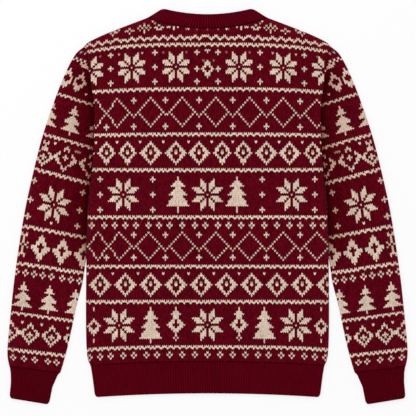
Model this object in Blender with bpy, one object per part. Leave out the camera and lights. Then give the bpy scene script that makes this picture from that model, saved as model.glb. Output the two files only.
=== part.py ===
# A knitted Christmas sweater, laid flat with its back up, made piece by piece as it is sewn.
# Lengths are in millimetres. X runs across the garment, Y up towards the neck and Z up off the
# surface. Y is measured from the middle of the laid garment, so its box is centred on the origin.

from collections import namedtuple

import bmesh
import bpy
import numpy as np

MM = 0.001  # metres in a millimetre

WALL = 2.6  # thickness of the knit
SEAM_GAP = 0.3  # left between two sewn pieces
FOLD_HEIGHT = 9.0  # both layers together, at a folded edge
FLAT_HEIGHT = 6.6  # both layers together, in the middle of a panel
FOLD_REACH = 45.0  # how far in from a fold the layers settle on each other
NOSE = (0.0, 1.2, 4.5, 9.0)  # distances in from a fold, where its rounded nose has a column
NOSE_WIDTH = NOSE[-1]

CREASE_GAP = 0.6  # between the body's side and the sleeve that lies against it
CREASE_SAG = 2.2  # how much lower the sleeve lies along that crease
CREASE_REACH = 32.0

RIB_PITCH = 4.6  # from one knitted rib to the next
RIB_RAISE = 0.8

BACK_NECK_DROP = 19.0  # below the high shoulder point, at the seam
FRONT_NECK_DROP = 75.0
BACK_BAND_DIP = 11.0  # how far the band's free edge dips between its two peaks
FRONT_BAND_DIP = 66.0

Spot = namedtuple("Spot", "x y")
Level = namedtuple("Level", "y half_width")
Rise = namedtuple("Rise", "y rise")
Line = namedtuple("Line", "half_width centre_y side_y")
Cross = namedtuple("Cross", "outer_x outer_y inner_x inner_y")

NECK_POINT = Spot(115.0, 358.2)
COLLAR_PEAK = Spot(85.5, 376.6)
SHOULDER_TIP = Spot(234.7, 303.4)
TIP_INWARD = Spot(-0.66, -0.75)  # square to the shoulder fold where the armhole seam crosses it

SHOULDER = (
    SHOULDER_TIP,
    Spot(225.5, 312.4),
    Spot(195.0, 328.0),
    Spot(157.0, 343.0),
    NECK_POINT,
)

ARMHOLE = (  # the body's half width along the armhole seam, from the shoulder tip down
    Level(296.6, 228.8),
    Level(275.0, 226.6),
    Level(250.0, 224.6),
    Level(214.0, 218.4),
    Level(176.0, 215.4),
    Level(136.0, 215.6),
    Level(98.0, 217.4),
    Level(60.0, 220.4),
)

BODY_SIDE = (  # the side fold, from the underarm to the hem seam
    Level(60.0, 220.4),
    Level(12.0, 226.0),
    Level(-45.0, 228.8),
    Level(-104.0, 230.2),
    Level(-178.0, 231.0),
    Level(-235.0, 230.8),
    Level(-272.0, 229.0),
    Level(-298.6, 224.2),
)

HEM = (  # lines across the hem band, from its seam to its edge
    Line(223.6, -293.6, -298.6),
    Line(220.6, -312.0, -317.4),
    Line(211.6, -354.6, -361.6),
)

SLEEVE_OUTER = (  # the sleeve's outer fold, from the shoulder tip to the cuff seam
    SHOULDER_TIP,
    Spot(249.0, 291.4),
    Spot(262.0, 270.0),
    Spot(275.5, 240.4),
    Spot(291.7, 198.6),
    Spot(314.5, 130.2),
    Spot(331.8, 61.8),
    Spot(346.8, -6.7),
    Spot(358.2, -75.1),
    Spot(367.7, -143.5),
    Spot(374.9, -211.9),
    Spot(379.3, -257.5),
    Spot(380.0, -284.0),
    Spot(376.4, -304.6),
)

SLEEVE_INNER = (  # its inner fold, below the place where it leaves the body's side
    Spot(231.4, -104.0),
    Spot(237.2, -143.5),
    Spot(246.0, -177.7),
    Spot(253.7, -211.9),
    Spot(263.4, -257.5),
    Spot(273.0, -294.0),
    Spot(280.3, -318.0),
)

SLEEVE_ROWS = (20.0, -20.0, -62.0, -104.0, -143.5, -180.0, -215.0, -250.0, -282.0, -318.0)

ROW_RISE = (  # how much higher a sleeve's row meets the outer fold than it meets the inner side
    Rise(-318.0, 13.4),
    Rise(-212.0, 14.0),
    Rise(-104.0, 16.0),
    Rise(60.0, 19.0),
    Rise(214.0, 18.0),
    Rise(250.0, 16.0),
    Rise(275.0, 13.0),
    Rise(296.6, 6.8),
)

CREASE_DEPTH = (  # share of the crease's sag, along the sleeve's inner fold
    Rise(-200.0, 0.0),
    Rise(-120.0, 0.8),
    Rise(-60.0, 1.0),
    Rise(20.0, 1.0),
    Rise(60.0, 0.0),
)

CUFF = (  # lines across a cuff, from its seam to its edge
    Cross(376.3, -305.0, 280.4, -318.4),
    Cross(375.0, -322.0, 290.4, -331.0),
    Cross(377.2, -361.8, 300.8, -376.6),
)

NECK_ANGLES = np.radians([15.0, 30.0, 45.0, 60.0, 75.0, 90.0])  # columns round the neck's ellipse
SHOULDER_STEPS = (40.0, 75.0, 108.0)  # columns along the shoulder, from its tip
HEM_SHARES = (0.90, 0.79, 0.67, 0.56, 0.48, 0.40, 0.32, 0.24, 0.16, 0.08, 0.0)
LOWER_STEPS = 14  # plain columns under a band

DARK_RED = (0.0931, 0.0018, 0.0070, 1.0)
RIB_RED = (0.0802, 0.0016, 0.0062, 1.0)


def smooth(spots, steps=10):
    """A curve through the spots, with this many points from each one to the next."""
    knots = np.array([(s[0], s[1]) for s in spots], float)
    knots = np.vstack([2 * knots[0] - knots[1], knots, 2 * knots[-1] - knots[-2]])
    t = np.linspace(0, 1, steps, endpoint=False)[:, None]
    runs = []
    for a, b, c, d in zip(knots, knots[1:], knots[2:], knots[3:]):
        straight = 2 * b + (c - a) * t
        bent = (2 * a - 5 * b + 4 * c - d) * t**2 + (3 * b - a - 3 * c + d) * t**3
        runs.append(0.5 * (straight + bent))
    return np.vstack(runs + [knots[-2:-1]])


def travel(line):
    """How far along a line each of its points is."""
    return np.concatenate([[0], np.cumsum(np.linalg.norm(np.diff(line, axis=0), axis=1))])


def along(line, distances):
    """The points at these distances along a line, and the line's direction there."""
    reach = travel(line)
    distances = np.asarray(distances, float)
    points = np.stack([np.interp(distances, reach, line[:, k]) for k in (0, 1)], axis=1)
    piece = np.clip(np.searchsorted(reach, distances, side="right") - 1, 0, len(line) - 2)
    heading = np.diff(line, axis=0)[piece]
    return points, heading / np.linalg.norm(heading, axis=1)[:, None]


def width_at(levels, y):
    rows = sorted(levels)
    return np.interp(y, [level.y for level in rows], [level.half_width for level in rows])


def value_at(table, y):
    return np.interp(y, [row.y for row in table], [row.rise for row in table])


def smooth_levels(levels):
    """Levels with points between them, on the curve through their places."""
    return [Level(y, x) for x, y in smooth([Spot(level.half_width, level.y) for level in levels])]


SHOULDER_LINE = smooth(SHOULDER)
OUTER_LINE = smooth(SLEEVE_OUTER)
INNER_LINE = smooth(SLEEVE_INNER)
SIDE_LEVELS = smooth_levels(BODY_SIDE)
SIDE_LINE = np.array([(level.half_width, level.y) for level in SIDE_LEVELS])
FOLDS = (  # every folded edge of the garment, on its +X side
    np.array([COLLAR_PEAK, NECK_POINT], float),
    SHOULDER_LINE,
    OUTER_LINE,
    SIDE_LINE,
    INNER_LINE,
)


def fold_distance(x, y):
    """How far a place is from the nearest folded edge."""
    place = np.stack([np.abs(x), y], axis=-1)[..., None, :]
    nearest = np.full(place.shape[:-2], np.inf)
    for fold in FOLDS:
        start, run = fold[:-1], np.diff(fold, axis=0)
        share = ((place - start) * run).sum(-1) / (run**2).sum(-1)
        foot = start + np.clip(share, 0, 1)[..., None] * run
        nearest = np.minimum(nearest, np.linalg.norm(place - foot, axis=-1).min(-1))
    return nearest


def height_at(x, y):
    """The height of both layers together: fuller by a fold, and settled away from it."""
    fullness = np.exp(-((fold_distance(x, y) / FOLD_REACH) ** 2))
    return FLAT_HEIGHT + (FOLD_HEIGHT - FLAT_HEIGHT) * fullness


def nose(distance):
    """The cosine and sine of a fold's rounding at this distance in from its edge."""
    cosine = np.clip(1 - np.asarray(distance, float) / NOSE_WIDTH, 0, 1)
    return cosine, np.sqrt(1 - cosine**2)


def wall(plan, height, rise, inset, layer, seam=0.0, raised=0.0):
    """The outer and inner points of a layer of knit.

    layer is 1 for the layer on top and -1 for the one below. rise is 0 on a folded edge and 1 on
    the flat, inset is the way from the outer point to the inner one in plan, in wall thicknesses,
    seam is the gap between the layers at a fold and raised lifts the outer points.
    """
    half = height / 2
    outer_z = half + layer * (seam / 2 + (half - seam / 2) * rise)
    inner_z = half + layer * (seam / 2 + (half - seam / 2 - WALL) * rise)
    outer_plan = plan - inset * np.expand_dims(raised, -1)
    outer = np.concatenate([outer_plan, (outer_z + layer * raised * rise)[..., None]], axis=-1)
    inner = np.concatenate([plan + WALL * inset, inner_z[..., None]], axis=-1)
    return outer, inner


def ellipse_y(x, half_width, top, drop):
    return top - drop * np.sqrt(np.clip(1 - (x / half_width) ** 2, 0, 1))


def parabola_y(x, half_width, centre, rise):
    return centre + rise * (x / half_width) ** 2


def back_neck_y(x):
    centre = NECK_POINT.y - BACK_NECK_DROP
    return parabola_y(x, NECK_POINT.x, centre, BACK_NECK_DROP)


def front_neck_y(x):
    return ellipse_y(x, NECK_POINT.x, NECK_POINT.y, FRONT_NECK_DROP)


def panel_top(neck_y):
    """The panel's top edge at each column, from the shoulder tip to the middle of the neck, and
    the way into the panel from it. Columns past the neck point have no fold."""
    length = travel(SHOULDER_LINE)[-1]
    shoulder, heading = along(SHOULDER_LINE, [*NOSE, *SHOULDER_STEPS, length])
    inward = np.stack([heading[:, 1], -heading[:, 0]], axis=1)
    inward *= -np.sign(inward[:, 1:])
    inward[0] = TIP_INWARD
    inward[-1] = 0.0, -1.0  # clear of the neck seam, which starts here
    x = NECK_POINT.x * np.cos(NECK_ANGLES)
    x[-1] = 0.0
    neck = np.stack([x, neck_y(x)], axis=1)
    downward = np.tile([0.0, -1.0], (len(x), 1))
    return np.vstack([shoulder, neck]), np.vstack([inward, downward]), len(shoulder)


def mirrored(grid):
    """A half grid, whose last column is on the middle, with its mirror image added."""
    return np.concatenate([grid * [-1, 1, 1], grid[:, -2::-1]], axis=1)


def panel_grid(layer, neck_y):
    """The outer and inner points of the front or the back, row by row from the hem seam up."""
    top, into, folded = panel_top(neck_y)
    side_rows = [*sorted(BODY_SIDE), *sorted(ARMHOLE)[1:]]
    under = len(BODY_SIDE) - 1  # the underarm's row
    columns, noses = len(top), len(NOSE)
    hem_line, crown = HEM[0], top + into * NOSE_WIDTH
    shares = np.array([1.0] * noses + list(HEM_SHARES[-(columns - noses) :]))
    top_shares = crown[:, 0] / crown[0, 0]
    low_y, high_y = side_rows[0].y, side_rows[-1].y
    rows, across, upward = [], [], []
    flat = [NOSE_WIDTH] * columns
    for row, level in enumerate(side_rows):
        climb = (level.y - low_y) / (high_y - low_y)
        x = level.half_width * (shares + (top_shares - shares) * climb)
        steps = np.array(NOSE)
        steps += (crown[0, 0] - crown[:noses, 0] - steps) * climb**6
        x[:noses] = level.half_width - steps
        hem_y = parabola_y(x, hem_line.half_width, hem_line.centre_y, low_y - hem_line.centre_y)
        y = hem_y + (crown[:, 1] - hem_y) * climb
        y[0] = level.y
        rows.append(np.stack([x, y], axis=1))
        across.append(flat if row > under else [*NOSE, *flat[noses:]])
        upward.append(flat)
    for step in NOSE[-2::-1]:
        rows.append(top + into * step)
        across.append(flat)
        upward.append([step] * folded + flat[folded:])
    plan = np.array(rows)
    side_cosine, side_sine = nose(across)
    top_cosine, top_sine = nose(upward)
    inset = side_cosine[..., None] * [-1.0, 0.0] + top_cosine[..., None] * into
    height = height_at(plan[..., 0], plan[..., 1])
    grids = wall(plan, height, side_sine * top_sine, inset, layer, seam=SEAM_GAP)
    return [mirrored(grid) for grid in grids]


def sleeve_side(row_y):
    """Half width of a sleeve's inner side: the armhole seam, then the fold beside the body."""
    if row_y > BODY_SIDE[0].y:
        return float(width_at(ARMHOLE, row_y)) + SEAM_GAP
    if row_y > SLEEVE_INNER[0].y:
        share = (BODY_SIDE[0].y - row_y) / (BODY_SIDE[0].y - SLEEVE_INNER[0].y)
        body = float(width_at(SIDE_LEVELS, row_y))
        return body + SEAM_GAP + (CREASE_GAP - SEAM_GAP) * min(1.0, 4 * share)
    order = np.argsort(INNER_LINE[:, 1])
    return float(np.interp(row_y, INNER_LINE[order, 1], INNER_LINE[order, 0]))


def outer_fold(y):
    order = np.argsort(OUTER_LINE[:, 1])
    return np.array([np.interp(y, OUTER_LINE[order, 1], OUTER_LINE[order, 0]), y])


def sleeve_grid(layer, middle_columns=5):
    """The outer and inner points of one layer of the sleeve, from the shoulder tip down."""
    tip = np.array(SHOULDER_TIP) + [SEAM_GAP * 0.7, -SEAM_GAP * 0.7]
    corner = tip + np.array(TIP_INWARD) * NOSE_WIDTH
    count = 2 * len(NOSE) + middle_columns
    first = np.array([*NOSE[:3], *np.linspace(0.9 * NOSE_WIDTH, NOSE_WIDTH, count - 3)])
    rows = [tip + (corner - tip) * (first / NOSE_WIDTH)[:, None]]
    outer_steps, inner_steps, sag = [first], [np.full(count, NOSE_WIDTH)], [np.zeros(count)]
    side_ys = [level.y for level in ARMHOLE[1:]] + list(SLEEVE_ROWS)
    for side_y in side_ys:
        side = np.array([sleeve_side(side_y), side_y])
        fold = outer_fold(side_y + value_at(ROW_RISE, side_y))
        length = np.linalg.norm(side - fold)
        flat = np.linspace(NOSE_WIDTH, length - NOSE_WIDTH, middle_columns + 2)[1:-1]
        steps = np.array([*NOSE, *flat, *[length - d for d in NOSE[::-1]]])
        rows.append(fold + (side - fold) * (steps / length)[:, None])
        outer_steps.append(steps)
        folded = side_y <= BODY_SIDE[0].y
        inner_steps.append(length - steps if folded else np.full(count, NOSE_WIDTH))
        dip = value_at(CREASE_DEPTH, side_y) * np.exp(-(((length - steps) / CREASE_REACH) ** 2))
        sag.append(CREASE_SAG * dip)
    plan = np.array(rows)
    outer_cosine, outer_sine = nose(outer_steps)
    inner_cosine, inner_sine = nose(inner_steps)
    row_run = plan[:, -1] - plan[:, 0]
    row_run /= np.linalg.norm(row_run, axis=1)[:, None]
    inset = (outer_cosine - inner_cosine)[..., None] * row_run[:, None]
    height = height_at(plan[..., 0], plan[..., 1]) - np.array(sag)
    return wall(plan, height, outer_sine * inner_sine, inset, layer)


def band_ring(upper, lower, ribs):
    """One section round a flattened band, ribbed above and plain below, from the left fold."""
    parts = []
    for line, layer in ((upper, 1), (lower, -1)):
        length = travel(line)[-1]
        if layer == 1:
            steps = np.linspace(0, length, 2 * ribs + 1)
            raised = RIB_RAISE * (np.arange(len(steps)) % 2)
        else:
            flat = np.linspace(NOSE_WIDTH, length - NOSE_WIDTH, LOWER_STEPS + 1)[1:-1]
            steps = np.array([*NOSE, *flat, *[length - d for d in NOSE[::-1]]])[-2:0:-1]
            raised = np.zeros(len(steps))
        plan, heading = along(line, steps)
        cosine, sine = nose(np.minimum(steps, length - steps))
        inset = (cosine * np.where(steps < length / 2, 1, -1))[:, None] * heading
        height = height_at(plan[:, 0], plan[:, 1])
        parts.append(wall(plan, height, sine, inset, layer, raised=raised))
    return [np.concatenate(both) for both in zip(*parts)]


def band_grid(lines):
    """The rings of a band, from lines that each give its upper and lower course in plan."""
    ribs = round(travel(lines[0][0])[-1] / RIB_PITCH)
    rings = [band_ring(upper, lower, ribs) for upper, lower in lines]
    return [np.array(surface) for surface in zip(*rings)]


def hem_lines():
    lines = []
    for line in HEM:
        share = np.linspace(-1, 1, 41)
        y = parabola_y(share, 1.0, line.centre_y, line.side_y - line.centre_y)
        course = np.stack([share * line.half_width, y], axis=1)
        if line is HEM[0]:
            course[:, 1] -= SEAM_GAP
        lines.append((course, course))
    return lines


def cuff_lines():
    lines = []
    for line in CUFF:
        course = np.array([(line.outer_x, line.outer_y), (line.inner_x, line.inner_y)])
        lines.append((course, course))
    return lines


def shifted(line, distance):
    """A line moved square to itself, to the left of its course."""
    heading = np.gradient(line, axis=0)
    heading /= np.linalg.norm(heading, axis=1)[:, None]
    return line + distance * np.stack([-heading[:, 1], heading[:, 0]], axis=1)


def neck_seam(neck_y):
    """The neck seam from left to right, on the panel's own points, a gap away from them."""
    top, _, folded = panel_top(neck_y)
    half = top[folded - 1 :]
    line = shifted(np.vstack([half * [-1, 1], half[-2::-1]]), SEAM_GAP)
    fold = np.array(COLLAR_PEAK) - np.array(NECK_POINT)
    start = np.array(NECK_POINT) + SEAM_GAP * fold / np.linalg.norm(fold)
    line[0], line[-1] = start * [-1, 1], start
    return line


def band_edge(edge_y):
    """The band's free edge from left to right."""
    turn = np.linspace(np.pi, 0, 25)
    x = COLLAR_PEAK.x * np.cos(turn)
    return np.stack([x, edge_y(x)], axis=1)


def even(line, count=61):
    return along(line, np.linspace(0, travel(line)[-1], count))[0]


def neckband_lines():
    peak, dip = COLLAR_PEAK, BACK_BAND_DIP
    edges = (
        band_edge(lambda x: parabola_y(x, peak.x, peak.y - dip, dip)),
        band_edge(lambda x: ellipse_y(x, peak.x, peak.y, FRONT_BAND_DIP)),
    )
    seams = (neck_seam(back_neck_y), neck_seam(front_neck_y))
    middles = [(even(seam) + even(edge)) / 2 for seam, edge in zip(seams, edges)]
    return [seams, middles, edges]


def add_surface(mesh, grid, wrapped):
    """Vertices for a grid of points, with faces between them. Returns the vertices by place."""
    rows, columns = grid.shape[:2]
    verts = [[mesh.verts.new(point * MM) for point in row] for row in grid]
    for r in range(rows - 1):
        for c in range(columns if wrapped else columns - 1):
            d = (c + 1) % columns
            mesh.faces.new((verts[r][c], verts[r][d], verts[r + 1][d], verts[r + 1][c]))
    return verts


def add_wall(mesh, surfaces, edges, wrapped=False):
    """A wall's outer and inner surfaces, closed along edges given as lists of (row, column)."""
    outer, inner = (add_surface(mesh, grid, wrapped) for grid in surfaces)
    for edge in edges:
        for (r, c), (s, d) in zip(edge, edge[1:]):
            mesh.faces.new((outer[r][c], outer[s][d], inner[s][d], inner[r][c]))


def finish(name, mesh, colour, turned=False):
    """An object from a closed mesh, with its own knitted material."""
    if turned:
        bmesh.ops.scale(mesh, vec=(-1, 1, 1), verts=mesh.verts)
    bmesh.ops.remove_doubles(mesh, verts=mesh.verts, dist=1e-7)
    bmesh.ops.recalc_face_normals(mesh, faces=mesh.faces)
    data = bpy.data.meshes.new(name)
    mesh.to_mesh(data)
    mesh.free()
    data.shade_smooth()
    data.set_sharp_from_angle(angle=np.radians(50))
    made = bpy.data.objects.new(name, data)
    bpy.context.scene.collection.objects.link(made)
    knit = bpy.data.materials.new(name + "_knit")
    knit.use_nodes = True
    surface = knit.node_tree.nodes["Principled BSDF"]
    surface.inputs["Base Color"].default_value = colour
    surface.inputs["Roughness"].default_value = 0.9
    surface.inputs["Metallic"].default_value = 0.0
    data.materials.append(knit)


def make_panel(name, layer, neck_y):
    surfaces = panel_grid(layer, neck_y)
    rows, columns = surfaces[0].shape[:2]
    edge = [(0, c) for c in range(columns)]
    edge += [(r, columns - 1) for r in range(1, rows)]
    edge += [(rows - 1, c) for c in range(columns - 2, -1, -1)]
    edge += [(r, 0) for r in range(rows - 2, -1, -1)]
    mesh = bmesh.new()
    add_wall(mesh, surfaces, [edge])
    finish(name, mesh, DARK_RED)


def make_sleeve(name, turned):
    """Two layers that share their folded edges. The armhole and the cuff end are open."""
    mesh = bmesh.new()
    for layer in (1, -1):
        surfaces = sleeve_grid(layer)
        rows, columns = surfaces[0].shape[:2]
        armhole = [(0, c) for c in range(columns)]
        armhole += [(r, columns - 1) for r in range(1, len(ARMHOLE))]
        cuff_end = [(rows - 1, c) for c in range(columns)]
        add_wall(mesh, surfaces, [armhole, cuff_end])
    finish(name, mesh, DARK_RED, turned)


def make_band(name, lines, turned=False):
    surfaces = band_grid(lines)
    rows, columns = surfaces[0].shape[:2]
    mesh = bmesh.new()
    edges = [[(r, c % columns) for c in range(columns + 1)] for r in (0, rows - 1)]
    add_wall(mesh, surfaces, edges, wrapped=True)
    finish(name, mesh, RIB_RED, turned)


for old in list(bpy.data.objects):
    bpy.data.objects.remove(old, do_unlink=True)

make_panel("back_panel", 1, back_neck_y)
make_panel("front_panel", -1, front_neck_y)
make_sleeve("sleeve_right", turned=False)
make_sleeve("sleeve_left", turned=True)
make_band("neckband", neckband_lines())
make_band("hem_band", hem_lines())
make_band("cuff_right", cuff_lines())
make_band("cuff_left", cuff_lines(), turned=True)
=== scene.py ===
import math
from functools import partial

import bmesh
import bpy
import numpy as np
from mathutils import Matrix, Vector
from mathutils.geometry import delaunay_2d_cdt


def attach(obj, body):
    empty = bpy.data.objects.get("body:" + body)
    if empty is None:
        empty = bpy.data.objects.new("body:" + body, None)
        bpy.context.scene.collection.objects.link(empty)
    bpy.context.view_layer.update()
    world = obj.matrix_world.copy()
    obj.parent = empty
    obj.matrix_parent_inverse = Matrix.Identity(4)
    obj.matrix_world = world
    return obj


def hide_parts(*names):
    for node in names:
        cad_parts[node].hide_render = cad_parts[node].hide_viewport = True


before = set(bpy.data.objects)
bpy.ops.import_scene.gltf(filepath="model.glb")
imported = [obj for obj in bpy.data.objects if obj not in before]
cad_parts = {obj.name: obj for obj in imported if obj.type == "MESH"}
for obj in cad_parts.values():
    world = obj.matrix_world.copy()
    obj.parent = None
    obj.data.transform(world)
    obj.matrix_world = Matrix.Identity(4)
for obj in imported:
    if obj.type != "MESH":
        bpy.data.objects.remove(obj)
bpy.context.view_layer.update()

# A knitted Christmas sweater, laid flat with its back up, knitted here stitch by stitch.
# Lengths are in millimetres until a mesh is made. X runs across, Y up towards the neck and
# Z up off the floor. Outlines are given for the +X side and mirrored.

mm = 0.001

cloth = {
    "wall": 2.6,  # thickness of the knit
    "foldHeight": 9.0,  # both layers together, at a folded edge
    "flatHeight": 6.6,  # both layers together, in the middle
    "foldReach": 45.0,
    "noseWidth": 9.0,  # how far in from a fold its rounding goes
    "seamGap": 0.3,
    "creaseGap": 0.6,
    "creaseFrom": (60.0, 20.0),  # heights between which the seam's gap widens to the crease's
    "sewn": (60.0, 98.0),  # heights between which the side fold turns into the armhole seam
}

neckPoint = (115.0, 358.2)
collarPeak = (85.5, 376.6)
shoulderTip = (234.7, 303.4)
shoulder = (shoulderTip, (225.5, 312.4), (195.0, 327.2), (157.0, 342.3), neckPoint)
armhole = (  # y and half width, down the armhole seam
    (303.4, 234.7), (296.6, 228.8), (275.0, 226.6), (250.0, 224.6), (214.0, 218.4),
    (176.0, 215.4), (136.0, 215.6), (98.0, 217.4), (60.0, 220.4),
)
bodySide = (  # y and half width, down the side fold
    (60.0, 220.4), (12.0, 226.0), (-45.0, 228.8), (-104.0, 230.2), (-178.0, 231.0),
    (-235.0, 230.8), (-272.0, 229.6), (-291.0, 227.0), (-301.4, 222.6),
)
hemLines = (  # half width, middle y and side y, from the hem seam to the edge
    (222.6, -293.9, -301.4), (219.6, -312.0, -319.0), (213.9, -355.2, -362.6),
)
sleeveOuter = (
    shoulderTip,
    (249.0, 291.4), (262.0, 270.0), (275.5, 240.4), (291.7, 198.6), (314.5, 130.2),
    (331.8, 61.8), (346.8, -6.7), (358.2, -75.1), (367.7, -143.5), (374.9, -211.9),
    (379.3, -257.5), (380.0, -284.0), (376.4, -304.6),
)
sleeveInner = (
    (231.4, -104.0), (237.2, -143.5), (246.0, -177.7), (253.7, -211.9), (263.4, -257.5),
    (273.0, -294.0), (280.3, -318.0),
)
cuffLines = (  # outer x and y, inner x and y, from the cuff seam to its edge
    (376.3, -302.8, 279.6, -315.3), (374.3, -316.5, 288.6, -325.0),
    (374.0, -334.0, 294.2, -343.0), (376.8, -364.2, 300.8, -376.6),
)
neckDrops = {"back": 20.6, "front": 75.0, "backEdge": 11.0, "frontEdge": 66.0}


def smoothCurve(spots, steps=10):
    # through every spot, in a few steps from each to the next
    knots = np.array(spots, float)
    knots = np.vstack([2 * knots[0] - knots[1], knots, 2 * knots[-1] - knots[-2]])
    t = np.linspace(0, 1, steps, endpoint=False)[:, None]
    runs = []
    for a, b, c, d in zip(knots, knots[1:], knots[2:], knots[3:]):
        bent = (2 * a - 5 * b + 4 * c - d) * t**2 + (3 * b - a - 3 * c + d) * t**3
        runs.append(0.5 * (2 * b + (c - a) * t + bent))
    return np.vstack(runs + [knots[-2:-1]])


def travel(line):
    # how far along a line each of its points is
    return np.concatenate([[0], np.cumsum(np.linalg.norm(np.diff(line, axis=0), axis=1))])


def along(line, distances):
    # places on a line and the way it runs there
    reach = travel(line)
    distances = np.asarray(distances, float)
    points = np.stack([np.interp(distances, reach, line[:, k]) for k in (0, 1)], axis=1)
    piece = np.clip(np.searchsorted(reach, distances, side="right") - 1, 0, len(line) - 2)
    heading = np.diff(line, axis=0)[piece]
    return points, heading / np.linalg.norm(heading, axis=1)[:, None]


def lookUp(table, x, column=1):
    rows = np.array(sorted(table), float)
    return np.interp(x, rows[:, 0], rows[:, column])


def smoothStep(low, high, x):
    t = np.clip((np.asarray(x, float) - low) / (high - low), 0, 1)
    return t * t * (3 - 2 * t)


shoulderLine = smoothCurve(shoulder)
outerLine = smoothCurve(sleeveOuter)
innerLine = smoothCurve(sleeveInner)
sideLine = smoothCurve([(w, y) for y, w in bodySide])
armholeLine = smoothCurve([(w, y) for y, w in armhole[1:]])
widthTable = [(y, w) for w, y in np.vstack([sideLine, armholeLine])] + [armhole[0]]
folds = (
    np.array([collarPeak, neckPoint], float),
    shoulderLine,
    outerLine,
    sideLine,
    innerLine,
)


def fadeOut(distance, reach):
    # from 1 at no distance towards 0, like a bell
    return np.exp(-((distance / reach) ** 2))


def bodyWidth(y):
    return lookUp(widthTable, y)


def distanceTo(line, x, y, batch=20000):
    # how far places are from a line, in batches to keep memory small
    spots = np.stack([np.abs(np.ravel(x)), np.ravel(y)], axis=1)[:, None]
    nearest = np.empty(len(spots))
    start, run = line[:-1], np.diff(line, axis=0)
    for i in range(0, len(spots), batch):
        spot = spots[i : i + batch]
        share = np.clip(((spot - start) * run).sum(-1) / (run**2).sum(-1), 0, 1)
        foot = start + share[..., None] * run
        nearest[i : i + batch] = np.linalg.norm(spot - foot, axis=-1).min(-1)
    return nearest.reshape(np.shape(x))


def heightAt(x, y):
    # of both layers together
    nearest = np.min([distanceTo(fold, x, y) for fold in folds], axis=0)
    fullness = fadeOut(nearest, cloth["foldReach"])
    return cloth["flatHeight"] + (cloth["foldHeight"] - cloth["flatHeight"]) * fullness


def noseAt(distance):
    # cosine and sine of the rounding at a distance from a fold
    cosine = np.clip(1 - np.asarray(distance, float) / cloth["noseWidth"], 0, 1)
    return cosine, np.sqrt(1 - cosine**2)


def foldAt(distance, y):
    # the same by a side fold, which ends where the armhole is sewn
    cosine, sine = noseAt(distance)
    sewn = smoothStep(*cloth["sewn"], y)
    return cosine * (1 - sewn), sine + (1 - sine) * sewn


def parabola(x, halfWidth, centre, rise):
    return centre + rise * (np.asarray(x) / halfWidth) ** 2


def ellipse(x, halfWidth, top, drop):
    return top - drop * np.sqrt(np.clip(1 - (np.asarray(x) / halfWidth) ** 2, 0, 1))


def backNeck(x):
    drop = neckDrops["back"]
    return parabola(x, neckPoint[0], neckPoint[1] - drop, drop)


def frontNeck(x):
    return ellipse(x, neckPoint[0], neckPoint[1], neckDrops["front"])


def hemY(x):
    halfWidth, middle, side = hemLines[0]
    return parabola(x, halfWidth, middle, side - middle)


# motifs, charted from the top course down
quarterCharts = {  # the left half and middle column, down to the middle course
    "star": """
....#...
....##..
....###.
....###.
####.##.
.####.#.
..####..
.......#""",
    "smallStar": """
...#...
...##..
...###.
...###.
###.##.
####.#.
.####..
......#""",
    "drop": """
...#
..##
..##
.##.
##..""",
    "wideDiamond": """
.....#
....##
...##.
..##..
.###..
###..#""",
    "flake": """
..#.
..##
...#
...#
.#.#
..#.""",
    "asterisk": """
...#
.#.#
#.#.""",
}
halfCharts = {  # the left half and middle column, or how far each course reaches out
    "tree": [0, 0, 1, 2, 3, 1, 2, 3, 4, 2, 3, 4, 4, 5, 0, 0, 0],
    "hemTree": [0, 0, 1, 1, 2, 3, 1, 2, 3, 4, 2, 3, 4, 4, 5, 0, 0],
    "sleeveTree": [0, 0, 1, 1, 2, 0, 1, 2, 3, 3, 1, 2, 3, 4, 0, 0],
    "ornament": """
....#
....#
...##
..###
...##
...##
..##.
.###.
###..
.###.
..###
...##
....#
....#
...#.
....#""",
    "gem": """
...#
..##
.##.
##..
.##.
.###
..##
...#""",
    "slimDiamond": """
....#
...##
..##.
.##..
.##..
##..#
.##..
..##.
...##
...##
....#""",
    "plusDiamond": """
....#
...##
...#.
.##..
##..#
##.##
.##.#
..##.
...##
....#""",
    "bloom": """
.....#
....##
....#.
..#...
.##..#
##..##
###..#
.##...
..##..
....#.
....##
.....#""",
    "fullDiamond": """
....#
...##
...##
..###
..##.
###..
####.
.###.
..###
...##
...##
....#""",
    "capDiamond": """
...#
...#
..##
..##
.##.
##..
##..
.##.
.###
..##
..##
...#""",
    "cross": [0, 1, 0],
    "dot": ".#\n#.\n.#",
    "stitch": "#",
    "two": "#\n#",
    "wideDot": "..#\n##.\n..#",
    "flower": "..#\n##.\n.##",
    "tee": "##\n.#",
    "stem": "#.\n##\n.#\n.#\n.#",
}


def chartOf(drawing):
    if isinstance(drawing, list):
        reach = max(drawing)
        return np.array([[abs(c) <= half for c in range(-reach, reach + 1)] for half in drawing])
    half = np.array([[mark == "#" for mark in row] for row in drawing.split()])
    return np.hstack([half, half[:, -2::-1]])


charts = {name: chartOf(drawing) for name, drawing in halfCharts.items()}
for name, drawing in quarterCharts.items():
    top = chartOf(drawing)
    charts[name] = np.vstack([top, top[-2::-1]])


def place(sheet, middle, motif, row, columns, shade=1.0):
    # row is the course of the motif's middle, counted up from the seam
    chart = charts[motif]
    tall, wide = chart.shape
    for column in columns:
        for j, i in zip(*np.nonzero(chart)):
            r, c = row + tall // 2 - j, middle + column - wide // 2 + i
            if 0 <= r < sheet.shape[0] and 0 <= c < sheet.shape[1]:
                sheet[r, c] = shade


def straightLine(sheet, row, seed, pairs=0.5):
    # a thin line that wavers between two courses: one or two wales up, then one down
    rng = np.random.default_rng(seed)
    column = 0
    while column < sheet.shape[1]:
        run = 2 if rng.random() < pairs else 1
        sheet[row + 1, column : column + run] = 2
        sheet[row, column + run : column + run + 1] = 2
        column += run + 1


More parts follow.
